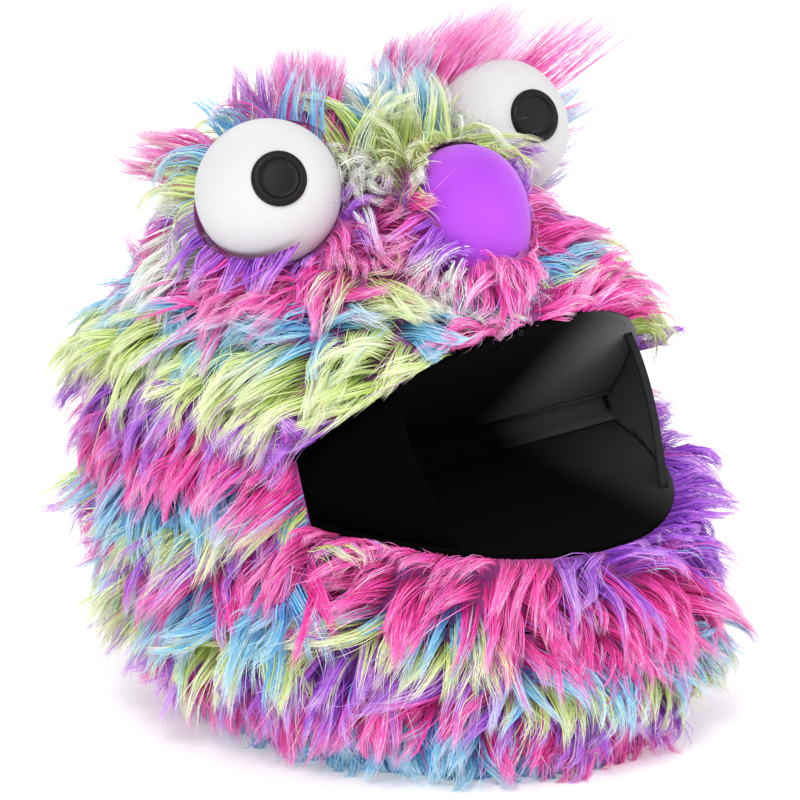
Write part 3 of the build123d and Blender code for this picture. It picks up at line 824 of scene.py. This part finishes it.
def comb(p, n):
    """Which way the pile is brushed."""
    # down all over, wandering a little
    way = np.zeros_like(p)
    way[:, 2] = -1.0
    way += drift(p, 0.030, 1.7) * 0.45
    side = np.sign(p[:, 0] + 0.004)
    # the face and the cheeks are brushed back as well as down
    back = np.clip((0.09 - p[:, 1]) / 0.06, 0, 1) * (
        0.2 + 0.8 * np.clip((p[:, 2] - 0.10) / 0.06, 0, 1))
    way[:, 0] += 0.35 * side * back
    way[:, 1] += 0.6 * back
    # the crown outwards from its middle
    top = np.clip((p[:, 2] - 0.225) / 0.035, 0, 1)[:, None]
    away = p - CROWN_MIDDLE
    way = way * (1 - top) + top * (unit(away) * 1.2 + drift(p, 0.022, 4.1) * 0.55)
    # away from the eyes and the nose
    for eye in EYES:
        v = p - eye
        d = np.linalg.norm(v, axis=1)[:, None]
        d -= EYE_RADIUS
        way += v / (d + EYE_RADIUS) * np.clip(d / 0.008, 0, 1) * np.clip((0.026 - d) / 0.016, 0, 1)
    v = p - NOSE_CENTRE
    d = np.linalg.norm(v, axis=1)[:, None]
    way += v / d * np.clip((0.058 - d) / 0.02, 0, 1) * 1.8
    # the fringe over the upper lip lies along it, off the opening; the lower lip's rolls over
    upper, lower = lips(p)
    fan = np.abs(n[:, :1]) * (UPPER_OUT * 0.2 - UPPER_DIR * 1.2)
    fan[:, 0] += side * np.abs(n[:, 1]) * 1.2
    fan[:, 2] += np.abs(n[:, 1]) * 0.9
    way += upper[:, None] * fan + lower[:, None] * np.array([0, 0, 1.3])
    # at the mouth's corners it leans a little over the edge
    v = p - HINGE
    r = np.hypot(v[:, 1], v[:, 2])
    corner = np.clip((r - 0.026) / 0.008, 0, 1) * (r < CORNER + 0.002)
    corner *= (v @ UPPER_OUT < 0.004) & (v @ LOWER_OUT < 0.004)
    way[:, 1] -= corner * 1.1
    way -= n * (way * n).sum(1)[:, None]
    return unit(way)


# Stripes of the dyed pile from the top down: the height where each one ends, and its hue
STRIPES = [
    (0.285, "pink"), (0.264, "blue"), (0.245, "lime"), (0.224, "purple"), (0.200, "pink"),
    (0.189, "blue"), (0.162, "lime"), (0.144, "purple"), (0.120, "pink"), (0.104, "blue"),
    (0.094, "lime"), (0.086, "purple"), (0.070, "pink"), (0.056, "blue"), (0.043, "lime"),
    (0.028, "purple"), (0.010, "pink"), (-1.0, "blue"),
]
# The same over the front and the left of the jaw, where they stand lower towards the left
LEFT_STRIPES = [
    (0.098, "purple"), (0.070, "pink"), (0.058, "blue"), (0.049, "lime"), (0.034, "purple"),
    (0.014, "pink"), (-1.0, "blue"),
]


def tufted(p, way, length, lift, droop):
    """The way, length, lift and droop of guides, changed where PATCHES says so."""
    for centre, reach, _, stand, longer in PATCHES:
        near = np.linalg.norm(p - np.array(centre), axis=1) < reach
        length[near] *= longer
        if stand is not None:
            spread = 0.16 if longer < TALL else 0.07
            way[near] = unit(np.array(stand) + rng.normal(0, spread, (near.sum(), 3)))
            lift[near] *= 0.6
            droop[near] = 0.1
    return way, length, lift, droop


def azimuth_of(p):
    """Angle round the head's middle line, 0 in front and growing to its left."""
    return np.arctan2(p[:, 0], -(p[:, 1] - MIDDLE_Y))


def banded(z, stripes):
    """The hue number at each height."""
    found = np.full(len(z), len(stripes) - 1)
    for k in range(len(stripes) - 1, -1, -1):
        found[z > stripes[k][0]] = k
    return np.array([HUES.index(name) for _, name in stripes])[found]


def hues(p, spread):
    """The hue number at each root. The stripes waver, and stand higher towards the front."""
    azimuth = azimuth_of(p)
    front = np.clip(1 - np.abs(azimuth) / (math.pi / 2), 0, 1)
    jaw = np.clip((p[:, 2] - 0.055) / 0.05, 0, 1) * (p[:, 2] < 0.130)
    shift = 0.012 + front * (0.015 + 0.025 * jaw)
    wave = (
        0.0050 * np.sin(azimuth * 5 + p[:, 2] * 40)
        + 0.0035 * np.sin(azimuth * 11 + p[:, 2] * 90 + 1.3)
        + 0.0025 * np.sin(azimuth * 23 - p[:, 2] * 60 + 0.4)
    )
    z = p[:, 2] + wave + spread
    hue = banded(z - shift, STRIPES)
    left = (np.abs(azimuth + spread * 12 - 0.65) < 1.09) & (p[:, 2] < 0.130)
    drop = 0.020 * np.clip((azimuth + 0.44) / 1.05, 0, 1)
    hue = np.where(left, banded(z + drop, LEFT_STRIPES), hue)
    for centre, reach, name, _, _ in PATCHES:
        d = np.linalg.norm(p - np.array(centre), axis=1) + spread * 0.7
        hue[d < reach] = HUES.index(name)
    return hue


STEPS = 10  # steps along a guide


def grow(p, n, way, length, lift, droop):
    """Paths that rise from the cloth, lean the way they are brushed and then hang."""
    path = [p]
    for k in range(STEPS):
        s = (k + 0.5) / STEPS
        d = n * (lift * (1 - s) ** 1.3)[:, None] + way * (0.35 + 0.65 * s)
        d[:, 2] -= droop * s * s
        path.append(path[-1] + unit(d) * (length / STEPS)[:, None])
    return np.stack(path, 1)


def nearest(targets, points):
    """The number of the target that is nearest to each point."""
    tree = KDTree(len(targets))
    for k, p in enumerate(targets):
        tree.insert(p, k)
    tree.balance()
    return np.array([tree.find(p)[1] for p in points])


# ------------------------------------------------------------------ tufts and locks

# Fibres follow locks, and locks follow tufts. Both are guides, and neither is a piece.
TUFT_GAP = 0.0165
LOCK_GAP = 0.006
TUFT_LENGTH = 0.039
AREA = sum(a for _, a in skins.values())
n_tufts = int(AREA / TUFT_GAP**2)
n_locks = int(AREA / LOCK_GAP**2)
pick = rng.choice(len(roots), n_tufts, replace=False)
tuft_root, tuft_n = roots[pick], out_normals[pick]
pick = rng.choice(len(roots), n_locks, replace=False)
lock_root, lock_n = roots[pick], out_normals[pick]


def near_nose(p):
    """1 against the nose, falling to 0 away from it, and less over it and to its right."""
    below = np.where(p[:, 2] < NOSE_CENTRE[2] + 0.004, 1.0, 0.75)
    below = below * np.where(p[:, 0] > -0.018, 1.0, 0.3)
    return np.clip((1.8 - nose_distance(p)) / 0.4, 0, 1) * below


def near_eye(p):
    """1 against the front of an eye, falling to 0 away from it."""
    away = [np.linalg.norm(p - eye, axis=1) - EYE_RADIUS for eye in EYES]
    ahead = np.clip((0.036 - p[:, 1]) / 0.016, 0, 1)
    return np.clip((0.018 - np.minimum(*away)) / 0.012, 0, 1) * ahead


# In the order of HUES: the lime stripes stand proud
STRIPE_LIFT = np.array([0.8, 1.0, 1.05, 1.25, 1.0])
STRIPE_LENGTH = np.array([0.9, 1.0, 1.0, 1.12, 1.1])
# tufts: low ones are short and flat, those at the lower lip stand up and then hang, and those at
# the nose are cropped
tuft_hue = hues(tuft_root, 0.0)
tuft_way = unit(comb(tuft_root, tuft_n) + rng.normal(0, 0.42, (n_tufts, 3)))
tuft_len = TUFT_LENGTH * rng.uniform(0.8, 1.2, n_tufts) * STRIPE_LENGTH[tuft_hue]
tuft_lift = rng.uniform(0.75, 1.25, n_tufts) * STRIPE_LIFT[tuft_hue]
tuft_droop = rng.uniform(0.35, 1.3, n_tufts)
upper, lower = lips(tuft_root)
low = np.clip((0.055 - tuft_root[:, 2]) / 0.03, 0, 1)
tuft_lift = tuft_lift * (1 - 0.5 * low) + 0.5 * lower + 0.1 * upper
tuft_len *= 1 - 0.38 * low
tuft_droop += 1.5 * lower
tuft_len *= (1 - 0.78 * near_nose(tuft_root)) * (1 - 0.2 * upper)
tuft_lift *= 1 - 0.4 * near_nose(tuft_root)
tuft_way, tuft_len, tuft_lift, tuft_droop = tufted(
    tuft_root, tuft_way, tuft_len, tuft_lift, tuft_droop
)
tuft_path = grow(tuft_root, tuft_n, tuft_way, tuft_len, tuft_lift, tuft_droop)

# locks: each takes after the tuft that is nearest, and at the lips after the comb
own = nearest(tuft_root, lock_root)
upper, lower = lips(lock_root)
edge = np.maximum(upper, lower)
lock_comb = comb(lock_root, lock_n)
lock_way = unit(tuft_way[own] * (1 - 0.7 * edge)[:, None]
                + lock_comb * (0.35 + 0.9 * edge)[:, None] + rng.normal(0, 0.2, (n_locks, 3)))
lock_len = tuft_len[own] * rng.uniform(0.82, 1.12, n_locks)
lock_len *= (1 - 0.3 * near_nose(lock_root)) * (1 - 0.3 * near_eye(lock_root))
lock_lift = tuft_lift[own] * rng.uniform(0.8, 1.2, n_locks) * (1 - edge)
lock_lift += edge * (0.75 + 0.6 * lower)
lock_droop = tuft_droop[own] * (1 - edge) + 1.9 * lower + 0.1 * upper
lock_path = grow(lock_root, lock_n, lock_way, lock_len, lock_lift, lock_droop)
s = np.linspace(0, 1, STEPS + 1)
# the tips of locks are drawn to their tuft's tip, less so round the eyes, nose and mouth
held = 1 - 0.85 * np.maximum(edge, np.maximum(near_nose(lock_root), near_eye(lock_root)))
pull = (0.66 * held[:, None] * s[None, :] ** 1.3)[:, :, None]
lock_path = lock_path * (1 - pull) + tuft_path[own] * pull
# each lock curls a little about its own path
curl_a = unit(np.cross(lock_way, rng.normal(0, 1, (n_locks, 3))))
curl_b = unit(np.cross(lock_way, curl_a))
turn = rng.uniform(0, 2 * math.pi, n_locks)[:, None]
turn = turn + s[None, :] * rng.uniform(2, 6, n_locks)[:, None]
wide = rng.uniform(0.0015, 0.0065, n_locks) * (1 - 0.6 * near_nose(lock_root))
wide = (wide[:, None] * s[None, :])[:, :, None]
lock_path = lock_path + wide * (
    curl_a[:, None] * (np.cos(turn) - np.cos(turn[:, :1]))[:, :, None]
    + curl_b[:, None] * (np.sin(turn) - np.sin(turn[:, :1]))[:, :, None]
)

# ------------------------------------------------------------------ fibres

SEGMENTS = 5  # along a fibre
ROOT_TONE = 1.25
TIP_TONE = 2.1  # what is added towards the tip
PALE_TONE = 1.2  # and what more on a pale tip
STRAY_SHARE = 0.10
STRAY_HUE_SHARE = 0.02
HALF_WIDTH = (0.00017, 0.00030)
HUE_TONE = np.array([-0.2, -0.25, 0.0, 0.3, 0.4])  # by hue: how much paler
PALED_SHARE = np.array([0.2, 0.2, 0.45, 0.45, 0.45])  # by hue: fibres with a pale tip
N = len(roots)
# each fibre runs beside its lock as far as its reach, and closes in on it towards the tip
mine = nearest(lock_root, roots)
reach = rng.uniform(0.62, 1.0, N) ** 0.7
stray = rng.random(N) < STRAY_SHARE
at = (np.linspace(0, 1, SEGMENTS + 1)[None, :] ** 0.9) * reach[:, None]
cell = np.minimum((at * STEPS).astype(int), STEPS - 1)
part = (at * STEPS - cell)[:, :, None]
guide = lock_path[mine]
row = np.arange(N)[:, None]
points = guide[row, cell] * (1 - part) + guide[row, cell + 1] * part
loose = 1 - np.where(stray, 0.25, rng.uniform(0.72, 0.97, N))[:, None] * at**1.05
points += (roots - lock_root[mine])[:, None, :] * loose[:, :, None]
# and flies off a little, strays more
fly = rng.normal(0, 1, (N, 3))
points += fly[:, None, :] * (np.where(stray, 0.0065, 0.0011)[:, None] * at**1.6)[:, :, None]


EYE_GAP = 0.0012  # the fibres stay this far off an eye
NOSE_GAP = 1.06  # and this far off the nose, as a distance of nose_distance
UPPER_OVER = 0.004  # the pile may overlap the upper lip by this much
LEFT_OVER = 0.011  # by this much more at the lip's left end
LOWER_OVER = 0.006
ROOM = 0.0085  # past the CAD box and 3 % of its sides
UNEVEN = 0.014  # the tips of fibres that are cut short at the top differ by this much
FLOOR_GAP = 0.0006


def keep_clear(q, above):
    """Moves points out of the eyes, the nose, the mouth's opening and the floor.
    above is true for the fibres that grow over the mouth, and false for those under it."""
    for eye in EYES:
        v = q - eye
        d = np.linalg.norm(v, axis=-1, keepdims=True)
        q = np.where(d < EYE_RADIUS + EYE_GAP, eye + v / d * (EYE_RADIUS + EYE_GAP), q)
    r = nose_distance(q)[..., None] / NOSE_GAP
    q = np.where(r < 1, NOSE_CENTRE + (q - NOSE_CENTRE) / np.maximum(r, 0.05), q)
    v = q - HINGE
    over = UPPER_OVER + LEFT_OVER * np.clip((q[..., 0] - 0.055) / 0.03, 0, 1)
    up, down = v @ UPPER_OUT, v @ LOWER_OUT
    open_side = (np.hypot(v[..., 1], v[..., 2]) > CORNER + 0.006) & (v[..., 1] < 0)
    upper = (up < -over) & open_side & above
    lower = (down < -LOWER_OVER) & open_side & ~above & (up < 0)
    q = q - UPPER_OUT * np.where(upper, up + over, 0)[..., None]
    q = q - LOWER_OUT * np.where(lower, down + LOWER_OVER, 0)[..., None]
    low, high = np.array(cad_box[0]), np.array(cad_box[1])
    room = (high - low) * 0.03 + ROOM
    top = (high + room)[2] - rng.uniform(0, UNEVEN, len(q))
    foot = q[:, :1, 2]
    tip = q[..., 2].max(1)[:, None]
    share = np.clip((top[:, None] - foot) / np.maximum(tip - foot, 1e-6), 0, 1)
    q[..., 2] = np.where(q[..., 2] > foot, foot + (q[..., 2] - foot) * share, q[..., 2])
    q = np.clip(q, low - room, high + room)
    q[..., 2] = np.maximum(q[..., 2], FLOOR_GAP)
    return q


above = ((roots - HINGE) @ UPPER_OUT > (roots - HINGE) @ LOWER_OUT)[:, None]
points = keep_clear(points, above)

# hues wander over the edges of the stripes, by lock and by fibre, and so do tones
lock_spread = rng.normal(0, 0.0016, n_locks)
hue = hues(lock_root[mine] * 0.6 + roots * 0.4, lock_spread[mine] + rng.normal(0, 0.0020, N))
stray_hue = rng.random(N) < STRAY_HUE_SHARE
hue[stray_hue] = rng.integers(0, len(HUES), stray_hue.sum())
bright = rng.normal(0, 0.35, n_locks)[mine] + rng.normal(0, 0.3, N)
bright += 0.35 * np.clip((roots[:, 2] - 0.18) / 0.03, 0, 1)
paled = rng.random(N) < PALED_SHARE[hue]


def pile(name, chosen, body, node):
    """Flat tapering fibres as one mesh: quads up to the last step, and a triangle at the tip."""
    p = points[chosen]
    count, k = len(p), SEGMENTS
    way = unit(np.gradient(p, axis=1))
    side = unit(np.cross(way, out_normals[chosen][:, None, :])
                + np.cross(way, rng.normal(0, 0.5, (count, 1, 3))))
    s = np.linspace(0, 1, k + 1)
    half = rng.uniform(*HALF_WIDTH, count)[:, None] * (1 - s**2.2)[None, :]
    left = p + side * half[:, :, None]
    right = p - side * half[:, :, None]
    co = np.empty((count, 2 * k + 1, 3))
    co[:, 0 : 2 * k : 2] = left[:, :k]
    co[:, 1 : 2 * k : 2] = right[:, :k]
    co[:, 2 * k] = p[:, k]
    first = (np.arange(count) * (2 * k + 1))[:, None]
    quads = np.array([[2 * j, 2 * j + 1, 2 * j + 3, 2 * j + 2] for j in range(k - 1)]).ravel()
    loops = np.concatenate([quads, [2 * k - 2, 2 * k - 1, 2 * k]])
    sizes = np.array([4] * (k - 1) + [3])
    starts = np.concatenate([[0], np.cumsum(sizes)[:-1]])
    mesh = bpy.data.meshes.new(name)
    mesh.vertices.add(count * (2 * k + 1))
    mesh.vertices.foreach_set("co", co.astype(np.float32).ravel())
    mesh.loops.add(count * len(loops))
    mesh.loops.foreach_set("vertex_index", (first + loops[None, :]).astype(np.int32).ravel())
    mesh.polygons.add(count * k)
    mesh.polygons.foreach_set(
        "loop_start",
        ((np.arange(count) * len(loops))[:, None] + starts[None, :]).astype(np.int32).ravel(),
    )
    mid = (np.arange(k) + 0.5) / k
    tone = ROOT_TONE + TIP_TONE * mid[None, :] ** 1.1 + (bright + HUE_TONE[hue])[chosen][:, None]
    tone += np.where(paled[chosen], PALE_TONE, 0)[:, None] * mid[None, :]
    tone = np.clip(np.rint(tone), 0, N_TONES - 1).astype(int)
    index = hue[chosen][:, None] * N_TONES + tone
    for m in FUR:
        mesh.materials.append(m)
    mesh.polygons.foreach_set("material_index", index.astype(np.int32).ravel())
    mesh.update(calc_edges=True)
    smooth(mesh)
    piece = link(name, mesh)
    if body is None:
        bend(piece, node)
    else:
        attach(piece, body)
    return piece


MOST = 20_000  # fibres in a piece
fibres = 0
for number, (node, (body, width, length)) in enumerate(PANELS.items()):
    skin, area = skins[node]
    if body is None:
        bend(skin, node)
    else:
        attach(skin, body)
    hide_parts(node)
    chosen = np.flatnonzero(owners == number)
    fibres += len(chosen)
    chosen = chosen[np.argsort(azimuth_of(roots[chosen]))]
    parts = math.ceil(len(chosen) / MOST)
    tufts = [
        pile(f"pile_{node[4:]}_{k + 1}", part, body, node)
        for k, part in enumerate(np.array_split(chosen, parts))
    ]
print("fibres", fibres, "locks", n_locks, "tufts", n_tufts)
